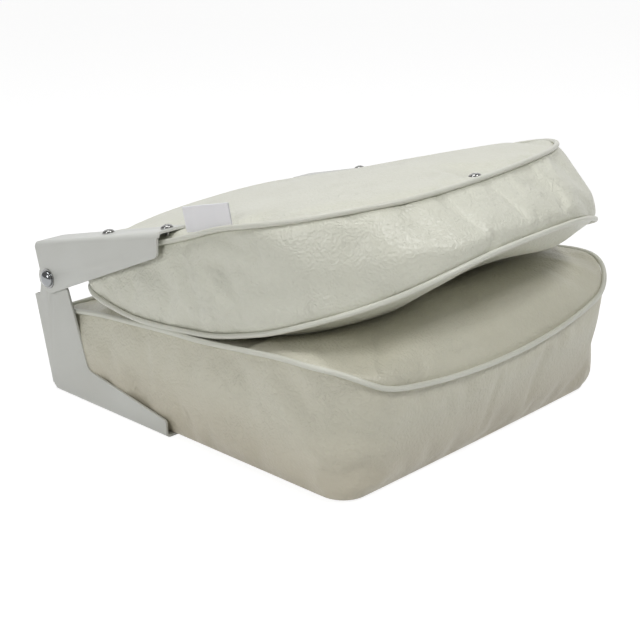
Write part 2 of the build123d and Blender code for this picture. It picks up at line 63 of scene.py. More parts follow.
def curve_through(points):
    """Smooth curve through (place, value) pairs, with no overshoot, going on straight beyond its ends."""
    xs = [p[0] for p in points]
    ys = [p[1] for p in points]
    gaps = [xs[i + 1] - xs[i] for i in range(len(xs) - 1)]
    rises = [(ys[i + 1] - ys[i]) / gaps[i] for i in range(len(gaps))]
    slopes = [rises[0]]
    for i in range(1, len(xs) - 1):
        if rises[i - 1] * rises[i] <= 0:
            slopes.append(0.0)
        else:
            w1, w2 = 2 * gaps[i] + gaps[i - 1], gaps[i] + 2 * gaps[i - 1]
            slopes.append((w1 + w2) / (w1 / rises[i - 1] + w2 / rises[i]))
    slopes.append(rises[-1])

    def value(x):
        if x <= xs[0]:
            return ys[0] + slopes[0] * (x - xs[0])
        if x >= xs[-1]:
            return ys[-1] + slopes[-1] * (x - xs[-1])
        i = bisect.bisect_right(xs, x) - 1
        t = (x - xs[i]) / gaps[i]
        return (
            ys[i] * (1 + 2 * t) * (1 - t) ** 2
            + gaps[i] * slopes[i] * t * (1 - t) ** 2
            + ys[i + 1] * t * t * (3 - 2 * t)
            + gaps[i] * slopes[i + 1] * t * t * (t - 1)
        )

    return value


def plan_loop(half_rear, half_front, rear, front, bow, rear_corner, front_corner):
    """Closed outline of a cushion from the middle of its rear, past -x, the front, and back by +x."""
    rear_count, rear_turn, side_count, front_turn, front_count = LOOP_PARTS
    circle = (half_front * half_front + bow * bow) / (2 * bow)
    circle_y = front - bow + circle
    turn_x = -half_front + front_corner
    turn_y = circle_y - math.sqrt((circle - front_corner) ** 2 - turn_x**2)
    end = math.atan2(turn_y - circle_y, turn_x) % (2 * math.pi)
    points = []
    for i in range(rear_count):
        points.append((-(half_rear - rear_corner) * i / rear_count, rear))
    for i in range(rear_turn):
        a = math.pi / 2 + math.pi / 2 * i / rear_turn
        x = -half_rear + rear_corner + rear_corner * math.cos(a)
        points.append((x, rear - rear_corner + rear_corner * math.sin(a)))
    start_y = rear - rear_corner
    for i in range(side_count):
        t = i / side_count
        y = start_y + (turn_y - start_y) * t
        points.append((-half_rear + (half_rear - half_front) * t, y))
    for i in range(front_turn):
        a = math.pi + (end - math.pi) * i / front_turn
        points.append((turn_x + front_corner * math.cos(a), turn_y + front_corner * math.sin(a)))
    for i in range(front_count):
        a = end + (1.5 * math.pi - end) * i / front_count
        points.append((circle * math.cos(a), circle_y + circle * math.sin(a)))
    points.append((0.0, front - bow))
    mirrored = [(-x, y) for x, y in reversed(points[1:-1])]
    return points + mirrored


def outward(loop):
    """Unit vectors in plan that point out of a closed loop."""
    count = len(loop)
    normals = []
    for i in range(count):
        (x0, y0), (x1, y1) = loop[i - 1][:2], loop[(i + 1) % count][:2]
        dx, dy = x1 - x0, y1 - y0
        size = math.hypot(dx, dy) or 1.0
        normals.append((-dy / size, dx / size))
    middle = len(loop) // 4
    if normals[middle][0] * loop[middle][0] < 0:
        normals = [(-x, -y) for x, y in normals]
    return normals


def wall_point(levels, index, z):
    """Place in plan of a wall's point at height z, from loops given at several heights."""
    heights = [level[0] for level in levels]
    i = min(max(bisect.bisect_right(heights, z) - 1, 0), len(levels) - 2)
    t = (z - heights[i]) / (heights[i + 1] - heights[i])
    a, b = levels[i][1][index], levels[i + 1][1][index]
    return (a[0] + (b[0] - a[0]) * t, a[1] + (b[1] - a[1]) * t)


def seam_on(levels, height_at, start):
    """Loop where a wall meets a face: height_at(x, y) is the seam's height there."""
    seam = []
    for index in range(len(levels[0][1])):
        z = start
        for _ in range(SEAM_TRIES):
            x, y = wall_point(levels, index, z)
            z = z * 0.4 + height_at(x, y) * 0.6
        x, y = wall_point(levels, index, z)
        seam.append((x, y, z))
    return seam


def mesh_object(name, verts, faces, smooth=True):
    mesh = bpy.data.meshes.new(name)
    mesh.from_pydata(verts, [], faces)
    mesh.update()
    piece = bpy.data.objects.new(name, mesh)
    bpy.context.scene.collection.objects.link(piece)
    work = bmesh.new()
    work.from_mesh(mesh)
    bmesh.ops.recalc_face_normals(work, faces=work.faces)
    work.to_mesh(mesh)
    work.free()
    for face in mesh.polygons:
        face.use_smooth = smooth
    return piece


def cover_over(name, rows):
    """Cover over rows of points; every row is a closed loop of the same count. The ends close to a point."""
    count = len(rows[0])
    verts = [Vector(p) * MM for row in rows for p in row]
    faces = []
    for r in range(len(rows) - 1):
        for i in range(count):
            j = (i + 1) % count
            faces.append((r * count + i, r * count + j, (r + 1) * count + j, (r + 1) * count + i))
    for r, flip in ((0, True), (len(rows) - 1, False)):
        verts.append(sum((verts[r * count + i] for i in range(count)), Vector()) / count)
        tip = len(verts) - 1
        for i in range(count):
            ring = (r * count + i, r * count + (i + 1) % count, tip)
            faces.append(ring[::-1] if flip else ring)
    return mesh_object(name, verts, faces)


def apply_modifiers(piece):
    graph = bpy.context.evaluated_depsgraph_get()
    mesh = bpy.data.meshes.new_from_object(piece.evaluated_get(graph))
    piece.modifiers.clear()
    piece.data = mesh
    for face in mesh.polygons:
        face.use_smooth = True


def refine(piece):
    modifier = piece.modifiers.new("refine", "SUBSURF")
    modifier.levels = 1
    modifier.render_levels = 1
    apply_modifiers(piece)


def join_pieces(name, pieces):
    """Several objects as one mesh object."""
    work = bmesh.new()
    for piece in pieces:
        piece.data.transform(piece.matrix_world)
        work.from_mesh(piece.data)
        old = piece.data
        bpy.data.objects.remove(piece)
        bpy.data.meshes.remove(old)
    mesh = bpy.data.meshes.new(name)
    work.to_mesh(mesh)
    work.free()
    joined = bpy.data.objects.new(name, mesh)
    bpy.context.scene.collection.objects.link(joined)
    return joined


# The backrest has a frame of its own: s along it from the pivot, w across it, x as the seat's


def to_back(y, z):
    """A place of the seat's frame, in the backrest's s and w."""
    along = (PIVOT_Y - y) * math.cos(FOLD_TILT) + (z - PIVOT_Z) * math.sin(FOLD_TILT)
    across = (y - PIVOT_Y) * math.sin(FOLD_TILT) + (z - PIVOT_Z) * math.cos(FOLD_TILT)
    return along, across


# Where the folded cushions press on each other: a straight line seen from the side
PRESS_REAR, PRESS_FRONT, PRESS_GAP = (112.0, 104.9), (-76.0, 117.0), 1.0
PRESS_SPARE = 0.4  # what the refining of the cover may swell
UNDER_BACK_FRONT, UNDER_BACK_REAR = -90, 215


def press_z(y):
    slope = (PRESS_FRONT[1] - PRESS_REAR[1]) / (PRESS_REAR[0] - PRESS_FRONT[0])
    return PRESS_REAR[1] + (PRESS_REAR[0] - y) * slope


# Seat cushion

SEAT_LEVELS = [
    (-1.2, plan_loop(200, 200, 209, -209, 1.5, 28, 28)),
    (60.0, plan_loop(200, 204, 210.2, -213, 13, 28, 42)),
    (150.0, plan_loop(200, 213, 209, -225.4, 33, 28, 76)),
]
SEAT_SIDE = curve_through(
    [(-275, 50), (-255, 71.0), (-240, 90.5), (-228, 108.2), (-215, 121.6), (-194, 128.4), (-159, 128.2),
     (-119, 124.1), (-76, 118.4), (-25, 112.3), (18, 109.5), (80, 103.8), (128, 99.6), (153, 95.8),
     (184, 90.3), (205, 86.0), (226, 75)]
)
SEAT_MIDDLE = curve_through(
    [(-275, 52), (-255, 76), (-240, 98.5), (-228, 116), (-215, 128.6), (-194, 134.0), (-159, 134.0),
     (-119, 126.5), (-76, 116.5), (18, 110.5), (112, 104.4), (153, 98.5), (184, 94.0), (205, 88.0),
     (226, 76)]
)
SEAT_HALF, SEAT_RISE, SEAT_SWELL = 200, 11.5, 1.4


def seat_rise(x, y):
    """The real cushion stands a little fuller at the far front corner."""
    return SEAT_RISE * smooth_step(60, -200, y) * min(max((x + SEAT_HALF) / (2 * SEAT_HALF), 0.0), 1.05)


def seat_side_height(x, y):
    return SEAT_SIDE(y) + seat_rise(x, y)


def seat_top_height(x, y, half):
    """Height of the seat's crowned top at a place."""
    across = min(abs(x) / half, 1.0)
    share = (1 - across**2.2) ** 0.6 if across < 1 else 0.0
    side = SEAT_SIDE(y)
    fuller, front = seat_rise(x, y), smooth_step(-60, -150, y)
    rise = fuller * front + fuller * (1 - front) * (1 - share)
    return side + (SEAT_MIDDLE(y) - side) * share + rise


def soft_dents(x, y, z, seed, size, depth):
    """Slow uneven swelling of foam under a cover."""
    at = Vector((x / size + seed, y / size - seed * 0.7, z / size + seed * 1.3))
    return depth * noise.noise(at)


def folds_at(along, up, folds):
    """How far a cover sinks at a place of its side, from strokes (along, up) to (along, up), width, depth."""
    sink = 0.0
    for a0, u0, a1, u1, width, depth in folds:
        run, rise = a1 - a0, u1 - u0
        size = run * run + rise * rise
        t = min(max(((along - a0) * run + (up - u0) * rise) / size, 0.0), 1.0)
        off = math.hypot(along - a0 - run * t, up - u0 - rise * t)
        taper = math.sin(math.pi * (0.12 + 0.76 * t))
        hollow = math.exp(-((off / width) ** 2))
        ridge = 0.35 * math.exp(-(((off - 1.7 * width) / width) ** 2))
        sink += depth * taper * (hollow - ridge)
    return sink


# Strokes on the sitter's right: place along the cushion, height, twice; then width and depth
SEAT_FOLDS = [
    (32, 98, 30, 46, 4.5, 2.4),
    (14, 96, 24, 60, 6.0, 1.5),
    (-60, 108, -120, 84, 12.0, 2.8),
    (-150, 112, -186, 70, 14.0, 5.4),
    (-190, 118, -204, 60, 11.0, 4.6),
    (-90, 60, -40, 30, 14.0, 2.2),
]
BACK_FOLDS = [
    (225, 12, 390, -34, 26.0, 9.0),
    (246, 16, 292, -42, 9.0, 4.4),
    (208, 4, 236, -34, 8.0, 2.2),
    (150, 12, 196, -12, 14.0, 2.6),
    (402, 30, 412, -26, 7.0, 2.2),
    (380, 26, 392, -28, 6.0, 1.4),
]

TUCK_X, TUCK_Y, TUCK_WIDTH = 196, -204, 26.0
TUCK_NEAR, TUCK_FAR = 1.5, 5.5


def tuck_at(x, y, z):
    """The cover is folded over itself at the board's front corners and stands out a little there."""
    corner = math.hypot(abs(x) - TUCK_X, y - TUCK_Y)
    reach = TUCK_FAR if x > 0 else TUCK_NEAR
    return reach * math.exp(-((corner / TUCK_WIDTH) ** 2)) * (1 - smooth_step(10, 80, z))


def soften(loop, passes):
    """Rounds the turns of a seam."""
    count = len(loop)
    for _ in range(passes):
        rounded = []
        for i in range(count):
            trio = zip(loop[i - 1], loop[i], loop[(i + 1) % count])
            rounded.append(tuple(0.25 * before + 0.5 * here + 0.25 * after for before, here, after in trio))
        loop = rounded
    return loop


def sunk_seam(seam, out):
    """The row of a cover that is sewn down under the piping."""
    return [(p[0] - n[0] * SEAM_SINK, p[1] - n[1] * SEAM_SINK, p[2]) for p, n in zip(seam, out)]


def drawn_in(seam, share, centre_y):
    """Each seam point, its place when drawn in towards the face's middle, and how far that is."""
    for p in seam:
        x, y = p[0] * (1 - share), centre_y + (p[1] - centre_y) * (1 - share)
        yield p, x, y, math.hypot(p[0] - x, p[1] - y)


# The hem turned in under the board, from the hidden inside: inset from the outline, height, and its hold
HEM_ROWS = [
    (1.4, 13.9, "hidden"),
    (1.4, 0.25, "hidden"),
    (14, 0.15, "hidden"),
    (25, 0.05, "hidden"),
    (26, -0.6, "hidden"),
    (25, -1.15, "hidden"),
    (16, -1.2, "hidden"),
    (9, -1.2, "hidden"),
    (4.2, -1.1, "hidden"),
    (1.9, -0.5, "pin"),
    (0.9, 1.2, "pin"),
    (0.6, 3.4, "wall"),
]
INSIDE_Z = 13.9
WALL_FOOT, TURN_IN_TOP, TURN_IN = 4.0, 26, 0.8
SEAT_CENTRE_Y = -10


def seat_cushion():
    seam = soften(seam_on(SEAT_LEVELS, seat_side_height, 110), 6)
    count = len(seam)
    rows = []
    tags = []

    def add(row, tag):
        rows.append(row)
        tags.append(tag)

    hem = SEAT_LEVELS[0][1]
    out = outward(hem)
    for share in (0.3, 0.7):
        add([(p[0] * share, p[1] * share, INSIDE_Z) for p in hem], "hidden")
    for inset, z, tag in HEM_ROWS:
        add([(p[0] - n[0] * inset, p[1] - n[1] * inset, z) for p, n in zip(hem, out)], tag)
    for r in range(1, WALL_ROWS + 1):
        row = []
        t = r / (WALL_ROWS + 1)
        for i in range(count):
            top = seam[i][2]
            z = WALL_FOOT + (top - WALL_FOOT) * t
            x, y = wall_point(SEAT_LEVELS, i, z)
            turn_in = TURN_IN * max(0.0, (TURN_IN_TOP - z) / TURN_IN_TOP) ** 2
            valley = SEAM_SINK * math.exp(-(((top - z) / SINK_WIDTH) ** 2))
            swell = SEAT_SWELL * math.sin(math.pi * t) - turn_in - valley
            swell += soft_dents(x, y, z, seed=3.1, size=70, depth=1.6) * math.sin(math.pi * t)
            if x < 0:
                swell -= folds_at(y, z, SEAT_FOLDS)
            swell += tuck_at(x, y, z)
            n = out[i]
            row.append((x + n[0] * swell, y + n[1] * swell, z))
        add(row, "wall")
    add(sunk_seam(seam, out), "pin")
    half = max(abs(p[0]) for p in seam)
    for share in CROWN_SHARES:
        row = []
        for p, x, y, edge in drawn_in(seam, share, SEAT_CENTRE_Y):
            z = seat_top_height(x, y, half)
            z -= CROWN_SINK * math.exp(-((edge / SINK_WIDTH) ** 2))
            z += soft_dents(x, y, 0, seed=7.7, size=80, depth=1.5) * smooth_step(10, 60, edge)
            row.append((x, y, z))
        add(row, "top")
    return cover_over("seat_cushion", rows), seam, tags


# Backrest cushion, in its own flat frame (x, -s, w), tilted into place at the end

BACK_LEVELS = [
    (-76.0, plan_loop(203, 203, -40, -452, 21, 31, 150)),
    (-8.0, plan_loop(204, 204, -40, -450, 20, 31, 148)),
    (78.0, plan_loop(193, 193, -40, -375, 20, 31, 72)),
]
REAR_EDGE = curve_through(
    [(29, 21.6), (58, 22.9), (131, 25.0), (188, 27.3), (226, 30.8), (284, 36.2), (324, 36.2),
     (363, 36.0), (402, 35.6), (436, 31.5), (461, 28.0), (487, 26.0)]
)
REAR_MIDDLE = curve_through(
    [(20, 25), (40, 34), (58, 42), (90, 47.0), (131, 48.5), (201, 49.0), (252, 48.0), (309, 46.0),
     (360, 42.5), (390, 38.5), (412, 35.5), (425, 34.5), (442, 33.0), (461, 30), (487, 27)]
)
FRONT_EDGE = curve_through(
    [(29, -1.1), (45, -9.2), (75, -25.2), (130, -46.0), (190, -56.6), (250, -62.8), (310, -60.4),
     (360, -54.2), (400, -48.0), (430, -42.0), (450, -34.8), (487, -14.5)]
)
FRONT_RIGHT = curve_through(
    [(29, -7), (58, -29), (131, -56), (201, -69), (252, -77), (309, -82), (340, -77), (400, -56),
     (440, -40), (487, -16)]
)
FRONT_CENTRE = curve_through(
    [(29, -7), (58, -29), (131, -56), (201, -69), (252, -77), (309, -77), (340, -66), (400, -42),
     (440, -35), (487, -18)]
)
FRONT_LEFT = curve_through(
    [(29, -7), (58, -29), (131, -56), (201, -69), (252, -76), (309, -65), (340, -58), (400, -55),
     (440, -50), (487, -20)]
)
FLANGE_W, FLANGE_INNER_X, FLANGE_END_S = 36.9, 173.8, 195.0
UNDER_FLANGE_W = FLANGE_W - 0.6
TWIST, FRONT_TWIST = 11.0, 0.68
TOP_SCREW_S, TOP_SCREW_PULL, PULL_WIDTH = 412.0, 3.0, 13.0
BACK_BOARD_W, BACK_CENTRE_Y, BACK_HALF = 17, -235, 198
BACK_SWELL, FLATTER_AT_TIP = 2.0, 1.6


def twist_at(x, s):
    """The far side of the real backrest stands a little higher towards its top."""
    return TWIST * smooth_step(150, 380, s) * min(max((x + BACK_HALF) / (2 * BACK_HALF), 0.0), 1.0)


def rear_edge_height(x, y):
    return REAR_EDGE(-y) + twist_at(x, -y)


def front_edge_height(x, y):
    return FRONT_EDGE(-y) + twist_at(x, -y) * FRONT_TWIST


def rear_height(x, y, half):
    """The puffy rear panel, pressed down under the brackets' flanges."""
    s = -y
    edge = REAR_EDGE(s)
    middle = REAR_MIDDLE(s)
    across = min(abs(x) / half, 1.0)
    share = (1 - across**2.0) ** 0.75
    w = edge + (middle - edge) * share + twist_at(x, s)
    held = smooth_step(FLANGE_INNER_X - 34, FLANGE_INNER_X + 2, abs(x))
    held *= 1 - smooth_step(FLANGE_END_S - 6, FLANGE_END_S + 40, s)
    if w > UNDER_FLANGE_W:
        w = w + (UNDER_FLANGE_W - w) * held
    return w


def front_height(x, y, half):
    """The crowned face that the sitter leans on; its deepest line runs askew, as in the photograph."""
    s = -y
    edge = front_edge_height(x, y)
    right, left = smooth_step(0, 100, -x), smooth_step(0, 100, x)
    middle = FRONT_RIGHT(s) * right + FRONT_LEFT(s) * left + FRONT_CENTRE(s) * (1 - right - left)
    across = min(abs(x) / half, 1.0)
    return edge + (middle - edge) * (1 - across**2.4) ** 0.6


def press_floor(s, w):
    """Keeps the front face above the place where the seat cushion presses on it."""
    rear_s, rear_w = to_back(PRESS_REAR[0], PRESS_REAR[1] + PRESS_GAP / 2)
    front_s, front_w = to_back(PRESS_FRONT[0], PRESS_FRONT[1] + PRESS_GAP / 2)
    floor = rear_w + (s - rear_s) * (front_w - rear_w) / (front_s - rear_s)
    return max(w, floor)


def back_cushion():
    rear_seam = soften(seam_on(BACK_LEVELS, rear_edge_height, 30), 4)
    front_seam = soften(seam_on(BACK_LEVELS, front_edge_height, -50), 4)
    out = outward(BACK_LEVELS[1][1])
    count = len(rear_seam)
    rows = []
    tags = []

    def add(row, tag):
        rows.append(row)
        tags.append(tag)

    half_front = max(abs(p[0]) for p in front_seam)
    half_rear = max(abs(p[0]) for p in rear_seam)
    for share in reversed(CROWN_SHARES):
        row = []
        for p, x, y, edge in drawn_in(front_seam, share, BACK_CENTRE_Y):
            w = front_height(x, y, half_front)
            w = p[2] + (w - p[2]) * smooth_step(-15, 45, edge)
            w += CROWN_SINK * math.exp(-((edge / SINK_WIDTH) ** 2))
            w += soft_dents(x, y, 0, seed=11.3, size=80, depth=1.6) * smooth_step(10, 60, edge)
            row.append((x, y, press_floor(-y, w)))
        add(row, "front")
    add(sunk_seam(front_seam, out), "pin")
    for r in range(1, WALL_ROWS + 1):
        row = []
        t = r / (WALL_ROWS + 1)
        for i in range(count):
            low, high = front_seam[i][2], rear_seam[i][2]
            w = low + (high - low) * t
            x, y = wall_point(BACK_LEVELS, i, w)
            from_rear, from_front = (high - w) / SINK_WIDTH, (w - low) / SINK_WIDTH
            valley = SEAM_SINK * (math.exp(-(from_rear**2)) + math.exp(-(from_front**2)))
            swell = (BACK_SWELL - FLATTER_AT_TIP * smooth_step(330, 430, -y)) * math.sin(math.pi * t) - valley
            swell += soft_dents(x, y, w, seed=5.9, size=60, depth=2.4) * math.sin(math.pi * t)
            if x < 0:
                clear_of_board = 2.0 + 20 * smooth_step(7, 22, abs(w - BACK_BOARD_W))
                swell -= min(folds_at(-y, w, BACK_FOLDS), clear_of_board)
            n = out[i]
            row.append((x + n[0] * swell, y + n[1] * swell, w))
        add(row, "wall")
    add(sunk_seam(rear_seam, out), "pin")
    for share in CROWN_SHARES:
        row = []
        for p, x, y, edge in drawn_in(rear_seam, share, BACK_CENTRE_Y):
            w = rear_height(x, y, half_rear)
            if abs(x) > FLANGE_INNER_X - 20:
                pressed = p[2] + (UNDER_FLANGE_W - p[2]) * smooth_step(0, 15, edge)
                w += max(pressed - w, 0.0) * (1 - smooth_step(FLANGE_END_S, FLANGE_END_S + 30, -y))
            w -= CROWN_SINK * math.exp(-((edge / SINK_WIDTH) ** 2))
            dents = soft_dents(x, y, 0, seed=19.1, size=70, depth=1.4) * smooth_step(10, 60, edge)
            w += dents * smooth_step(0, 30, 170 - abs(x))
            w -= TOP_SCREW_PULL * math.exp(-((math.hypot(x, -y - TOP_SCREW_S) / PULL_WIDTH) ** 2))
            row.append((x, y, w))
        add(row, "rear")
    return cover_over("backrest_cushion", rows), front_seam, rear_seam, tags


# Cloth: the cover settles between its seams, which stay where they are


def settle(piece, held, pressure, spare, cap, frames=16):
    """Cloth simulation of a cover with its seams held; no point moves by more than cap."""
    group = piece.vertex_groups.new(name="seams")
    for index, weight in held.items():
        group.add([index], weight, "REPLACE")
    before = [v.co.copy() for v in piece.data.vertices]
    modifier = piece.modifiers.new("cover", "CLOTH")
    settings = modifier.settings
    settings.quality = 6
    settings.mass = 0.4
    settings.tension_stiffness = 18
    settings.compression_stiffness = 14
    settings.shear_stiffness = 8
    settings.bending_stiffness = 0.6
    settings.use_pressure = True
    settings.uniform_pressure_force = pressure
    settings.shrink_min = -spare
    settings.vertex_group_mass = "seams"
    settings.effector_weights.gravity = 0
    modifier.collision_settings.use_collision = False
    modifier.collision_settings.use_self_collision = False
    modifier.point_cache.frame_start = 1
    modifier.point_cache.frame_end = frames
    scene = bpy.context.scene
    for number in range(1, frames + 1):
        scene.frame_set(number)
    apply_modifiers(piece)
    scene.frame_set(1)
    for vertex, old in zip(piece.data.vertices, before):
        move = vertex.co - old
        if move.length > cap * MM:
            vertex.co = old + move * (cap * MM / move.length)
    piece.vertex_groups.clear()


def held_rows(tags, count, held_tags):
    held = {}
    for r, tag in enumerate(tags):
        weight = 1.0 if tag in held_tags else 0.0
        for i in range(count):
            held[r * count + i] = weight
    return held


# Piping along a seam


def piping(name, seam, out, lift, joint_index):
    """A cord in its strip of vinyl, standing out of a seam, a little thicker where its ends are joined."""
    count = len(seam)
    path = []
    for p, n in zip(seam, out):
        path.append(Vector((p[0] + n[0] * PIPING_REACH, p[1] + n[1] * PIPING_REACH, p[2] + lift)))
    verts, faces = [], []
    for i in range(count):
        ahead = (path[(i + 1) % count] - path[i - 1]).normalized()
        side = Vector((out[i][0], out[i][1], 0))
        side = (side - ahead * side.dot(ahead)).normalized()
        up = ahead.cross(side).normalized()
        radius = WELT_RADIUS * (1 + 0.035 * noise.noise(Vector((i * 0.31, 4.2, 0))))
        if min(abs(i - joint_index), count - abs(i - joint_index)) < 3:
            radius *= 1.08
        for k in range(PIPING_SIDES):
            a = 2 * math.pi * k / PIPING_SIDES
            verts.append((path[i] + side * math.cos(a) * radius + up * math.sin(a) * radius) * MM)
    for i in range(count):
        here, there = i * PIPING_SIDES, (i + 1) % count * PIPING_SIDES
        for k in range(PIPING_SIDES):
            m = (k + 1) % PIPING_SIDES
            faces.append((here + k, there + k, there + m, here + m))
    piece = mesh_object(name, verts, faces)
    refine(piece)
    return piece


# Turned hardware

HEAD_RADIUS, HEAD_RIM, HEAD_RISE = 6.3, 0.5, 3.9
SHANK_RADIUS, SHANK_LENGTH = 2.4, 26
RECESS_LENGTH, RECESS_WIDTH, RECESS_DEPTH = 6.6, 1.7, 2.6


def lathe(name, profile, sides):
    """Turns a profile of (radius, height) about z."""
    verts, faces, rings = [], [], []
    for radius, height in profile:
        if radius < 1e-6:
            rings.append([len(verts)])
            verts.append(Vector((0, 0, height)) * MM)
            continue
        ring = []
        for k in range(sides):
            a = 2 * math.pi * k / sides
            ring.append(len(verts))
            verts.append(Vector((radius * math.cos(a), radius * math.sin(a), height)) * MM)
        rings.append(ring)
    for low, high in zip(rings, rings[1:]):
        for k in range(sides):
            m = (k + 1) % sides
            if len(low) == 1:
                faces.append((low[0], high[m], high[k]))
            elif len(high) == 1:
                faces.append((low[k], low[m], high[0]))
            else:
                faces.append((low[k], low[m], high[m], high[k]))
    return mesh_object(name, verts, faces)


def domed(radius, low, high, steps, fullness):
    """Profile of a round head, from its edge at the height low to its top at the height high."""
    turns = [math.pi / 2 * k / steps for k in range(1, steps)]
    rim = [(radius * math.cos(a), low + (high - low) * math.sin(a) ** fullness) for a in turns]
    return rim + [(0, high)]


def cut(piece, tool):
    modifier = piece.modifiers.new("cut", "BOOLEAN")
    modifier.operation = "DIFFERENCE"
    modifier.solver = "EXACT"
    modifier.object = tool
    apply_modifiers(piece)
    bpy.data.objects.remove(tool)


def recess_slot(length, width, top):
    """A tapered cutter for one slot of a cross recess."""
    verts = []
    for z, scale in ((top, 1.0), (top - RECESS_DEPTH, 0.45)):
        for sx, sy in ((-1, -1), (1, -1), (1, 1), (-1, 1)):
            verts.append(Vector((sx * length / 2 * scale, sy * width / 2 * (0.6 + 0.4 * scale), z)) * MM)
    faces = [(0, 1, 2, 3), (7, 6, 5, 4), (0, 4, 5, 1), (1, 5, 6, 2), (2, 6, 7, 3), (3, 7, 4, 0)]
    return mesh_object("recess_slot", verts, faces, smooth=False)


def truss_screw(name):
    """Truss-head screw with a cross recess, standing on z = 0."""
    shank = [(0, -SHANK_LENGTH), (SHANK_RADIUS, -SHANK_LENGTH), (SHANK_RADIUS, -0.3)]
    rim = [(5.9, -0.05), (6.25, 0.15), (HEAD_RADIUS, HEAD_RIM)]
    screw = lathe(name, shank + rim + domed(HEAD_RADIUS, HEAD_RIM, HEAD_RISE, 8, 0.9), 48)
    for length, width in ((RECESS_LENGTH, RECESS_WIDTH), (RECESS_WIDTH, RECESS_LENGTH)):
        cut(screw, recess_slot(length, width, HEAD_RISE + 0.6))
    shade_flat_edges(screw, 28)
    return screw


def shade_flat_edges(piece, degrees):
    mesh = piece.data
    for face in mesh.polygons:
        face.use_smooth = True
    mesh.set_sharp_from_angle(angle=math.radians(degrees))


def eased_copy(name, node, width):
    """The CAD sheet part again, with its sharp edges eased so that they catch the light."""
    mesh = nodes[node].data.copy()
    mesh.name = name
    piece = bpy.data.objects.new(name, mesh)
    bpy.context.scene.collection.objects.link(piece)
    mesh.materials.clear()
    work = bmesh.new()
    work.from_mesh(mesh)
    bmesh.ops.remove_doubles(work, verts=work.verts, dist=0.00001)
    bmesh.ops.dissolve_limit(
        work, angle_limit=math.radians(0.6), verts=work.verts, edges=work.edges, delimit={"NORMAL"}
    )
    work.to_mesh(mesh)
    work.free()
    modifier = piece.modifiers.new("eased", "BEVEL")
    modifier.width = width * MM
    modifier.segments = 2
    modifier.limit_method = "ANGLE"
    modifier.angle_limit = math.radians(32)
    modifier.use_clamp_overlap = True
    modifier.harden_normals = False
    apply_modifiers(piece)
    shade_flat_edges(piece, 30)
    return piece


# Finishes


def feed(tree, node, inputs):
    """Gives each named input of a node its value, or another node's output."""
    for key, value in inputs.items():
        if isinstance(value, bpy.types.NodeSocket):
            tree.links.new(value, node.inputs[key])
        else:
            node.inputs[key].default_value = value


def place_node(tree, kind, inputs=None, **settings):
    node = tree.nodes.new(kind)
    for key, value in settings.items():
        setattr(node, key, value)
    feed(tree, node, inputs or {})
    return node


def node_group(name, inputs, outputs):
    group = bpy.data.node_groups.new(name, "ShaderNodeTree")
    for label, kind, default in inputs:
        socket = group.interface.new_socket(label, in_out="INPUT", socket_type=kind)
        socket.default_value = default
    for label in outputs:
        group.interface.new_socket(label, in_out="OUTPUT", socket_type="NodeSocketFloat")
    return group, group.nodes.new("NodeGroupInput").outputs, group.nodes.new("NodeGroupOutput")


def noise_at(tree, place, inputs):
    return place_node(tree, "ShaderNodeTexNoise", {"Vector": place, **inputs})


def spread(tree, value, low, high, to_low=0.0, to_high=1.0, kind="LINEAR"):
    """Stretches a mask from low..high to to_low..to_high."""
    ends = {"Value": value, "From Min": low, "From Max": high, "To Min": to_low, "To Max": to_high}
    return place_node(tree, "ShaderNodeMapRange", ends, interpolation_type=kind).outputs["Result"]


def math_node(tree, operation, a, b=0.5):
    return place_node(tree, "ShaderNodeMath", {0: a, 1: b}, operation=operation).outputs[0]


def mix_colour(tree, factor, a, b):
    return place_node(tree, "ShaderNodeMix", {0: factor, 6: a, 7: b}, data_type="RGBA").outputs[2]


def grain_group():
    """Pebbled vinyl: pores, wandering creases and slow unevenness, as a height and three masks."""
    group, given, go = node_group(
        "vinyl_grain",
        [("Place", "NodeSocketVector", (0, 0, 0)), ("Pebble Scale", "NodeSocketFloat", 340.0),
         ("Crease Scale", "NodeSocketFloat", 75.0), ("Crease Depth", "NodeSocketFloat", 0.5)],
        ("Height", "Pores", "Creases", "Clouds"),
    )
    warp = noise_at(group, given["Place"], {"Scale": 60, "Detail": 3})
    shift = {0: warp.outputs["Color"], "Scale": 0.012}
    shifted = place_node(group, "ShaderNodeVectorMath", shift, operation="SCALE").outputs[0]
    both = {0: given["Place"], 1: shifted}
    warped = place_node(group, "ShaderNodeVectorMath", both, operation="ADD").outputs[0]
    cells = {"Smoothness": 0.6, "Vector": warped, "Scale": given["Pebble Scale"]}
    pebble = place_node(group, "ShaderNodeTexVoronoi", cells, feature="SMOOTH_F1").outputs["Distance"]
    crease = noise_at(group, warped, {"Scale": given["Crease Scale"], "Detail": 3, "Distortion": 1.4})
    from_middle = math_node(group, "ABSOLUTE", math_node(group, "SUBTRACT", crease.outputs["Fac"], 0.5))
    lines = spread(group, from_middle, 0.0, 0.035, 1.0, 0.0, kind="SMOOTHSTEP")
    patch = noise_at(group, given["Place"], {"Scale": 22, "Detail": 4})
    patches = spread(group, patch.outputs["Fac"], 0.38, 0.74, kind="SMOOTHSTEP")
    creases = math_node(group, "MULTIPLY", lines, patches)
    clouds = noise_at(group, given["Place"], {"Scale": 9, "Detail": 5}).outputs["Fac"]

    low = math_node(group, "MULTIPLY", creases, given["Crease Depth"])
    pores = math_node(group, "MULTIPLY", pebble, 0.8)
    height = math_node(group, "ADD", pores, math_node(group, "MULTIPLY", low, -1.0))
    height = math_node(group, "ADD", height, math_node(group, "MULTIPLY", clouds, 0.5))
    feed(group, go, {"Height": height, "Pores": pebble, "Creases": creases, "Clouds": clouds})
    return group


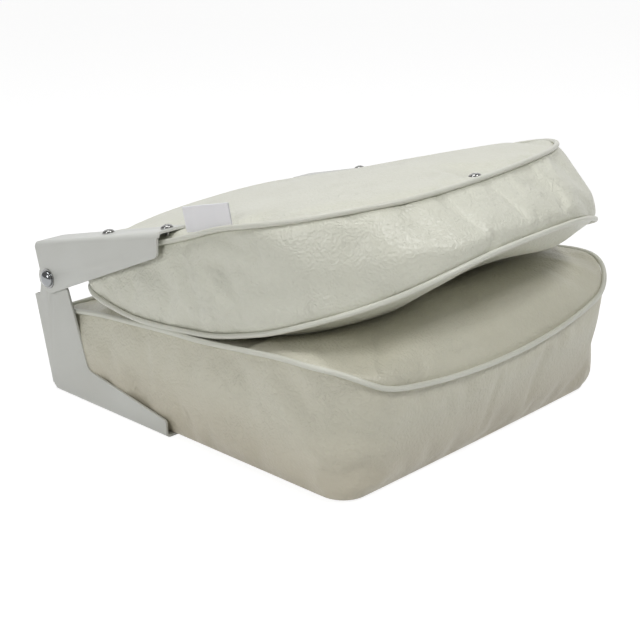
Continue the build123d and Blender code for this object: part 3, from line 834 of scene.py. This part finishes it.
def wear_group():
    """Dust and rubbing on coated steel: a slow tone, fine peel of the coat, and scuffs."""
    group, given, go = node_group(
        "coat_wear",
        [("Place", "NodeSocketVector", (0, 0, 0)), ("Peel Scale", "NodeSocketFloat", 500.0),
         ("Scuff Scale", "NodeSocketFloat", 60.0)],
        ("Height", "Tone", "Scuffs"),
    )
    peel = noise_at(group, given["Place"], {"Scale": given["Peel Scale"], "Detail": 2})
    tone = noise_at(group, given["Place"], {"Scale": 12, "Detail": 4})
    scuff = noise_at(group, given["Place"], {"Scale": given["Scuff Scale"], "Detail": 8, "Roughness": 0.7})
    scuffs = spread(group, scuff.outputs["Fac"], 0.60, 0.72)
    feed(group, go, {"Height": peel.outputs["Fac"], "Tone": tone.outputs["Fac"], "Scuffs": scuffs})
    return group


def fresh_material(name):
    material = bpy.data.materials.new(name)
    material.use_nodes = True
    tree = material.node_tree
    tree.nodes.clear()
    shader = place_node(tree, "ShaderNodeBsdfPrincipled")
    place_node(tree, "ShaderNodeOutputMaterial", {0: shader.outputs[0]})
    return material, tree, shader, place_node(tree, "ShaderNodeTexCoord").outputs["Object"]


def worn_material(name, **scales):
    """A fresh material with the wear group placed in it."""
    material, tree, shader, place = fresh_material(name)
    wear = place_node(tree, "ShaderNodeGroup", {"Place": place, **scales}, node_tree=WEAR)
    return material, tree, shader, wear.outputs


def bump(tree, height, shader, strength, distance):
    node = place_node(tree, "ShaderNodeBump", {"Strength": strength, "Distance": distance, "Height": height})
    feed(tree, shader, {"Normal": node.outputs["Normal"]})


def split_place(tree, place):
    return place_node(tree, "ShaderNodeSeparateXYZ", {0: place}).outputs


def vinyl(name, light, shade, crease_depth, rough, bump_strength, painted_shade_below=None):
    material, tree, shader, place = fresh_material(name)
    grain = place_node(
        tree, "ShaderNodeGroup", {"Place": place, "Crease Depth": crease_depth}, node_tree=GRAIN
    ).outputs
    colour = mix_colour(tree, spread(tree, grain["Clouds"], 0.3, 0.7), light, shade)
    # Painted shade: the cover is darkened along its creases.
    crease_shade = math_node(tree, "MULTIPLY", grain["Creases"], 0.06 * crease_depth)
    colour = mix_colour(tree, crease_shade, colour, tuple(c * 0.80 for c in shade[:3]) + (1,))
    # Painted shade and a warm painted reflection: the cover turns darker and browner towards its bottom edge.
    if painted_shade_below:
        bottom_shade = spread(tree, split_place(tree, place)["Z"], 0.0, painted_shade_below, 0.42, 0.0, kind="SMOOTHSTEP")
        colour = mix_colour(tree, bottom_shade, colour, (0.50, 0.42, 0.31, 1))
    gloss = spread(tree, grain["Pores"], 0.0, 1.0, rough - 0.06, rough + 0.08)
    feed(tree, shader, {"Base Color": colour, "Roughness": gloss, "Specular IOR Level": 0.5})
    bump(tree, grain["Height"], shader, bump_strength, 0.0008)
    return material


def coated_steel(name, light, shade):
    material, tree, shader, wear = worn_material(name)
    colour = mix_colour(tree, spread(tree, wear["Tone"], 0.3, 0.7), light, shade)
    rough = spread(tree, wear["Scuffs"], 0.0, 1.0, 0.34, 0.46)
    feed(tree, shader, {"Base Color": colour, "Roughness": rough, "Specular IOR Level": 0.5})
    bump(tree, wear["Height"], shader, 0.12, 0.0003)
    return material


def bright_metal(name, light, shade, low, high, scale):
    material, tree, shader, wear = worn_material(name, **{"Peel Scale": scale})
    colour = mix_colour(tree, wear["Tone"], light, shade)
    rough = spread(tree, wear["Tone"], 0.3, 0.7, low, high)
    feed(tree, shader, {"Base Color": colour, "Metallic": 1.0, "Roughness": rough})
    bump(tree, wear["Height"], shader, 0.06, 0.0002)
    return material


def plywood(name):
    material, tree, shader, place = fresh_material(name)
    stretch = place_node(tree, "ShaderNodeMapping", {"Scale": (3, 60, 60), "Vector": place})
    rings = noise_at(tree, stretch.outputs[0], {"Scale": 2.2, "Detail": 8, "Distortion": 0.6}).outputs["Fac"]
    colour = mix_colour(tree, rings, (0.40, 0.25, 0.13, 1), (0.66, 0.48, 0.29, 1))
    plies = math_node(tree, "FRACT", math_node(tree, "MULTIPLY", split_place(tree, place)["Z"], 400.0))
    dark = math_node(tree, "MULTIPLY", math_node(tree, "GREATER_THAN", plies, 0.55), 0.16)
    colour = mix_colour(tree, dark, colour, (0.22, 0.13, 0.06, 1))
    rough = math_node(tree, "ADD", math_node(tree, "MULTIPLY", rings, 0.2), 0.55)
    feed(tree, shader, {"Base Color": colour, "Roughness": rough})
    bump(tree, rings, shader, 0.25, 0.0004)
    return material


def foam(name):
    material, tree, shader, place = fresh_material(name)
    cells = place_node(tree, "ShaderNodeTexVoronoi", {"Scale": 700, "Vector": place}, feature="F1")
    colour = mix_colour(tree, cells.outputs["Distance"], (0.66, 0.58, 0.36, 1), (0.90, 0.84, 0.62, 1))
    feed(tree, shader, {"Base Color": colour, "Roughness": 0.95})
    bump(tree, cells.outputs["Distance"], shader, 0.6, 0.0008)
    return material


def moulded(name, light, shade):
    material, tree, shader, wear = worn_material(name)
    feed(tree, shader, {"Base Color": mix_colour(tree, wear["Tone"], light, shade), "Roughness": 0.5})
    bump(tree, wear["Height"], shader, 0.1, 0.0003)
    return material


def tape(name):
    """Woven label tape, blank."""
    material, tree, shader, place = fresh_material(name)
    along = split_place(tree, place)
    weft = math_node(tree, "SINE", math_node(tree, "MULTIPLY", along["Y"], 9000.0))
    warp = math_node(tree, "SINE", math_node(tree, "MULTIPLY", along["Z"], 11000.0))
    worn = noise_at(tree, place, {"Scale": 90}).outputs["Fac"]
    colour = mix_colour(tree, worn, (0.97, 0.96, 0.98, 1), (0.90, 0.90, 0.93, 1))
    feed(tree, shader, {"Base Color": colour, "Roughness": 0.62, "Sheen Weight": 0.2})
    bump(tree, math_node(tree, "MULTIPLY", weft, warp), shader, 0.25, 0.0002)
    return material


GRAIN = grain_group()
WEAR = wear_group()

# Light tone, shade tone; for vinyl then depth of the creases, roughness and strength of the grain
# Painted shade: seat and backrest wear one vinyl, and the seat's copy is made darker for the shade under the
# backrest.
SEAT_VINYL_SHADED = vinyl(
    "seat_vinyl_shaded", (0.665, 0.650, 0.540, 1), (0.625, 0.605, 0.495, 1), 0.34, 0.37, 1.0, painted_shade_below=0.085
)
# Painted light: the backrest's copy of the same vinyl is made lighter for the light that falls on it.
BACK_VINYL_LIT = vinyl("backrest_vinyl_lit", (0.725, 0.728, 0.632, 1), (0.690, 0.690, 0.592, 1), 0.34, 0.35, 1.0)
WELT = vinyl("piping_vinyl", (0.72, 0.725, 0.65, 1), (0.67, 0.67, 0.59, 1), 0.2, 0.32, 0.2)
COAT = coated_steel("bracket_coat", (0.66, 0.67, 0.635, 1), (0.62, 0.625, 0.585, 1))
DOME = bright_metal("pivot_polish", (0.36, 0.37, 0.38, 1), (0.26, 0.27, 0.28, 1), 0.10, 0.2, 200)
# Painted reflection: the screw steel is darker than bare steel, standing in for dark surroundings mirrored in
# the heads.
SCREW_STEEL_SHADED = bright_metal("screw_steel_shaded", (0.42, 0.42, 0.41, 1), (0.30, 0.30, 0.30, 1), 0.14, 0.26, 300)
ZINC = bright_metal("zinc_steel", (0.62, 0.62, 0.64, 1), (0.48, 0.48, 0.50, 1), 0.35, 0.5, 400)
NYLON = moulded("spacer_nylon", (0.82, 0.82, 0.80, 1), (0.76, 0.76, 0.73, 1))
PLY = plywood("board_ply")
FOAM = foam("cushion_foam")
TAPE = tape("label_tape")


def finish_with(piece, material):
    piece.data.materials.clear()
    piece.data.materials.append(material)


def dress_node(node, material):
    """Finish of a CAD node that stays, through its object's material slots."""
    carried = nodes[node]
    if not carried.material_slots:
        carried.data.materials.append(None)
    for number in range(len(carried.material_slots)):
        carried.material_slots[number].link = "OBJECT"
        carried.material_slots[number].material = material


# The seat

cushion, seat_seam, seat_tags = seat_cushion()
loop_count = len(seat_seam)
held = held_rows(seat_tags, loop_count, ("hidden", "pin"))
settle(cushion, held, pressure=2.0, spare=0.02, cap=5.0)
for vertex in cushion.data.vertices:
    x, y, z = vertex.co / MM
    pressed = press_z(y) - PRESS_GAP / 2 - PRESS_SPARE
    if UNDER_BACK_FRONT < y < UNDER_BACK_REAR and z > pressed:
        vertex.co.z = pressed * MM
refine(cushion)
finish_with(cushion, SEAT_VINYL_SHADED)
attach(cushion, "seat")
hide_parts("seat_top_panel", "seat_boxing", "seat_foam")

seat_piping = piping("seat_piping", seat_seam, outward(seat_seam), 0.6, 4)
finish_with(seat_piping, WELT)
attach(seat_piping, "seat")
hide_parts("seat_welt")

# The backrest

back, front_seam, rear_seam, back_tags = back_cushion()
held = held_rows(back_tags, loop_count, ("pin", "front"))
for vertex in back.data.vertices:
    x, y, w = vertex.co / MM
    by_flange = abs(x) > FLANGE_INNER_X - 6 and -y < FLANGE_END_S + 6
    if w > 0 and (by_flange or math.hypot(x, y + TOP_SCREW_S) < 14):
        held[vertex.index] = 1.0
settle(back, held, pressure=1.4, spare=0.02, cap=4.0)
for vertex in back.data.vertices:
    x, y, w = vertex.co / MM
    if abs(x) > FLANGE_INNER_X - 2 and -y < FLANGE_END_S + 2 and w > FLANGE_W - 0.5:
        vertex.co.z = (FLANGE_W - 0.5) * MM
    if w < 0:
        vertex.co.z = press_floor(-y, w) * MM
refine(back)
back_turn = Matrix.Translation(Vector((0, PIVOT_Y, PIVOT_Z)) * MM) @ Matrix.Rotation(-FOLD_TILT, 4, "X")
back.data.transform(back_turn)
finish_with(back, BACK_VINYL_LIT)
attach(back, "backrest")
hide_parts("back_front_panel", "back_boxing", "back_rear_panel", "back_foam", "back_rear_pad")

for name, seam, lift, node, joint in (
    ("backrest_front_piping", front_seam, -0.6, "back_front_welt", 4),
    ("backrest_rear_piping", rear_seam, 0.6, "back_rear_welt", 6),
):
    cord = piping(name, seam, outward(seam), lift, joint)
    cord.data.transform(back_turn)
    finish_with(cord, WELT)
    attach(cord, "backrest")
    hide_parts(node)

# Brackets

for node, body in (
    ("lower_bracket_right", "seat"),
    ("lower_bracket_left", "seat"),
    ("upper_bracket_right", "backrest"),
    ("upper_bracket_left", "backrest"),
):
    plate = eased_copy(node + "_coated", node, 0.45)
    finish_with(plate, COAT)
    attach(plate, body)
    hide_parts(node)

# Screws and pivots

BRACKET_SCREW_X, BRACKET_SCREW_W = 189.0, 39.5
BRACKET_SCREWS_S = (89.3, 183.5)

screws = []
for side in (-1, 1):
    for s in BRACKET_SCREWS_S:
        screw = truss_screw("bracket_screw")
        spin = Matrix.Rotation(0.5 + side * 0.4 + s * 0.01, 4, "Z")
        on_flange = Matrix.Translation(Vector((side * BRACKET_SCREW_X, -s, BRACKET_SCREW_W)) * MM)
        screw.data.transform(back_turn @ on_flange @ spin)
        screws.append(screw)
bracket_screws = join_pieces("bracket_screws", screws)
shade_flat_edges(bracket_screws, 28)
finish_with(bracket_screws, SCREW_STEEL_SHADED)
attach(bracket_screws, "backrest")
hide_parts("upper_bracket_screws")

top_screw = truss_screw("top_screw")
top_screw_w = rear_height(0, -TOP_SCREW_S, BACK_HALF) - TOP_SCREW_PULL - 0.2
top_screw_at = Matrix.Translation(Vector((0, -TOP_SCREW_S, top_screw_w)) * MM)
top_screw.data.transform(back_turn @ top_screw_at @ Matrix.Rotation(0.3, 4, "Z"))
finish_with(top_screw, SCREW_STEEL_SHADED)
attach(top_screw, "backrest")
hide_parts("panel_top_screw")

# Across the pivot: the outer faces of the plates, then what the bolt passes through
UPPER_PLATE_X, LOWER_PLATE_X = 211.8, 208.4
STEEL, SIDE_PLAY, WASHER, LOCK_NUT, BOLT_END = 2.6, 0.1, 1.3, 6.5, 2.0
BOLT_RADIUS, DOME_RADIUS, DOME_RISE = 4.7, 8.6, 5.2

bolts = []
for side in (-1, 1):
    head_x = UPPER_PLATE_X + SIDE_PLAY + WASHER
    inner_x = LOWER_PLATE_X - STEEL - LOCK_NUT - BOLT_END
    shank = [(0, inner_x), (BOLT_RADIUS - 0.2, inner_x), (BOLT_RADIUS, inner_x + 0.4), (BOLT_RADIUS, head_x)]
    rim = [(DOME_RADIUS - 0.3, head_x), (DOME_RADIUS, head_x + 0.3)]
    dome = domed(DOME_RADIUS, head_x + 0.4, head_x + DOME_RISE, 10, 1.0)
    bolt = lathe("pivot_dome", shank + rim + dome, 64)
    shade_flat_edges(bolt, 35)
    turn = Matrix.Rotation(side * math.pi / 2, 4, "Y")
    bolt.data.transform(Matrix.Translation(Vector((0, PIVOT_Y, PIVOT_Z)) * MM) @ turn)
    bolts.append(bolt)
pivot_domes = join_pieces("pivot_domes", bolts)
shade_flat_edges(pivot_domes, 35)
finish_with(pivot_domes, DOME)
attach(pivot_domes, "seat")
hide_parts("pivot_bolts")

for material, dressed in (
    (PLY, ("seat_board", "back_board")),
    (ZINC, ("seat_tee_nuts", "back_tee_nuts", "seat_staples")),
    (SCREW_STEEL_SHADED, ("lower_bracket_screws", "upper_bracket_screws", "panel_top_screw")),
    (SCREW_STEEL_SHADED, ("pivot_washers", "pivot_lock_nuts")),
    (NYLON, ("pivot_spacers",)),
    (TAPE, ("side_tag",)),
    (FOAM, ("seat_foam", "back_foam", "back_rear_pad")),
    (SEAT_VINYL_SHADED, ("seat_top_panel", "seat_boxing")),
    (BACK_VINYL_LIT, ("back_front_panel", "back_boxing", "back_rear_panel")),
    (WELT, ("seat_welt", "back_front_welt", "back_rear_welt")),
    (COAT, ("lower_bracket_right", "lower_bracket_left", "upper_bracket_right", "upper_bracket_left")),
    (DOME, ("pivot_bolts",)),
):
    for node in dressed:
        dress_node(node, material)

# Floor, light and camera

FLOOR_Z = -3.8 * MM
FLOOR_REACH, SWEEP_START, SWEEP_RADIUS, SWEEP_TOP = 6.0, 3.0, 1.5, 6.0
SWEEP_TURN = math.radians(-46.6)


def studio_white(name):
    """Pale matt floor that shows as white, and still takes the object's shadow."""
    material = bpy.data.materials.new(name)
    material.use_nodes = True
    tree = material.node_tree
    tree.nodes.clear()
    matt = place_node(tree, "ShaderNodeBsdfDiffuse", {"Color": (0.80, 0.80, 0.79, 1)})
    faint = place_node(tree, "ShaderNodeBsdfDiffuse", {"Color": (0.30, 0.30, 0.30, 1)})
    glow = place_node(tree, "ShaderNodeEmission", {"Color": (1, 1, 1, 1), "Strength": 0.88})
    both = place_node(tree, "ShaderNodeAddShader", {0: faint.outputs[0], 1: glow.outputs[0]})
    seen = place_node(tree, "ShaderNodeLightPath").outputs
    ray = math_node(tree, "MAXIMUM", seen["Is Camera Ray"], seen["Is Glossy Ray"])
    ray = math_node(tree, "MAXIMUM", ray, seen["Is Transmission Ray"])
    mixed = place_node(tree, "ShaderNodeMixShader", {0: ray, 1: matt.outputs[0], 2: both.outputs[0]})
    place_node(tree, "ShaderNodeOutputMaterial", {0: mixed.outputs[0]})
    return material


def backdrop():
    """A floor that sweeps up far behind the object."""
    profile = [(-FLOOR_REACH, 0.0), (SWEEP_START, 0.0)]
    for k in range(1, 9):
        a = math.pi / 2 * k / 8
        profile.append((SWEEP_START + SWEEP_RADIUS * math.sin(a), SWEEP_RADIUS - SWEEP_RADIUS * math.cos(a)))
    profile.append((SWEEP_START + SWEEP_RADIUS, SWEEP_TOP))
    verts, faces = [], []
    for across in (-FLOOR_REACH, FLOOR_REACH):
        for along, up in profile:
            verts.append(Vector((across, along, up + FLOOR_Z)))
    count = len(profile)
    for k in range(count - 1):
        faces.append((k, k + 1, count + k + 1, count + k))
    mesh = bpy.data.meshes.new("studio_sweep")
    mesh.from_pydata(verts, [], faces)
    mesh.transform(Matrix.Rotation(SWEEP_TURN, 4, "Z"))
    mesh.update()
    sweep = bpy.data.objects.new("studio_sweep", mesh)
    bpy.context.scene.collection.objects.link(sweep)
    for face in mesh.polygons:
        face.use_smooth = True
    mesh.materials.append(studio_white("studio_white"))


def softbox(name, place, aim, size, power):
    light = bpy.data.lights.new(name, "AREA")
    light.shape = "RECTANGLE"
    light.size = size
    light.size_y = size
    light.energy = power
    lamp = bpy.data.objects.new(name, light)
    lamp.location = place
    lamp.rotation_euler = (Vector(aim) - Vector(place)).to_track_quat("-Z", "Y").to_euler()
    bpy.context.scene.collection.objects.link(lamp)


def world_light(level):
    """Even light from all round; the camera sees it as white."""
    world = bpy.data.worlds.new("studio")
    bpy.context.scene.world = world
    world.use_nodes = True
    tree = world.node_tree
    tree.nodes.clear()
    soft = place_node(tree, "ShaderNodeBackground", {"Color": (1.0, 0.995, 0.985, 1), "Strength": level})
    white = place_node(tree, "ShaderNodeBackground", {"Color": (1, 1, 1, 1)})
    seen = place_node(tree, "ShaderNodeLightPath").outputs["Is Camera Ray"]
    mixed = place_node(tree, "ShaderNodeMixShader", {0: seen, 1: soft.outputs[0], 2: white.outputs[0]})
    place_node(tree, "ShaderNodeOutputWorld", {0: mixed.outputs[0]})


backdrop()
world_light(0.235)
softbox("top_softbox", (-0.2, 0.3, 1.7), (0, 0, 0.1), 0.7, 8.0)
softbox("left_softbox", (-1.9, -0.1, 1.0), (0, 0, 0.1), 0.6, 9.0)
softbox("front_softbox", (0.1, -1.4, 2.0), (0, 0, 0.15), 0.6, 18.5)

# The photograph's view, in metres; the focal length is in the photograph's pixels
PHOTO_WIDTH, FOCAL_PIXELS, SENSOR_WIDTH = 640, 1370.2, 36.0
CAMERA_PLACE, CAMERA_AIM = Vector((-1.0066, -0.9425, 0.5698)), Vector((-0.0524, -0.0392, 0.0963))

camera_data = bpy.data.cameras.new("photo_view")
camera_data.sensor_fit = "HORIZONTAL"
camera_data.sensor_width = SENSOR_WIDTH
camera_data.lens = FOCAL_PIXELS / PHOTO_WIDTH * SENSOR_WIDTH
camera_data.clip_start = 0.01
camera = bpy.data.objects.new("photo_view", camera_data)
camera.location = CAMERA_PLACE
camera.rotation_euler = (CAMERA_AIM - CAMERA_PLACE).to_track_quat("-Z", "Y").to_euler()
bpy.context.scene.collection.objects.link(camera)
bpy.context.scene.camera = camera
bpy.context.scene.view_settings.view_transform = "Standard"
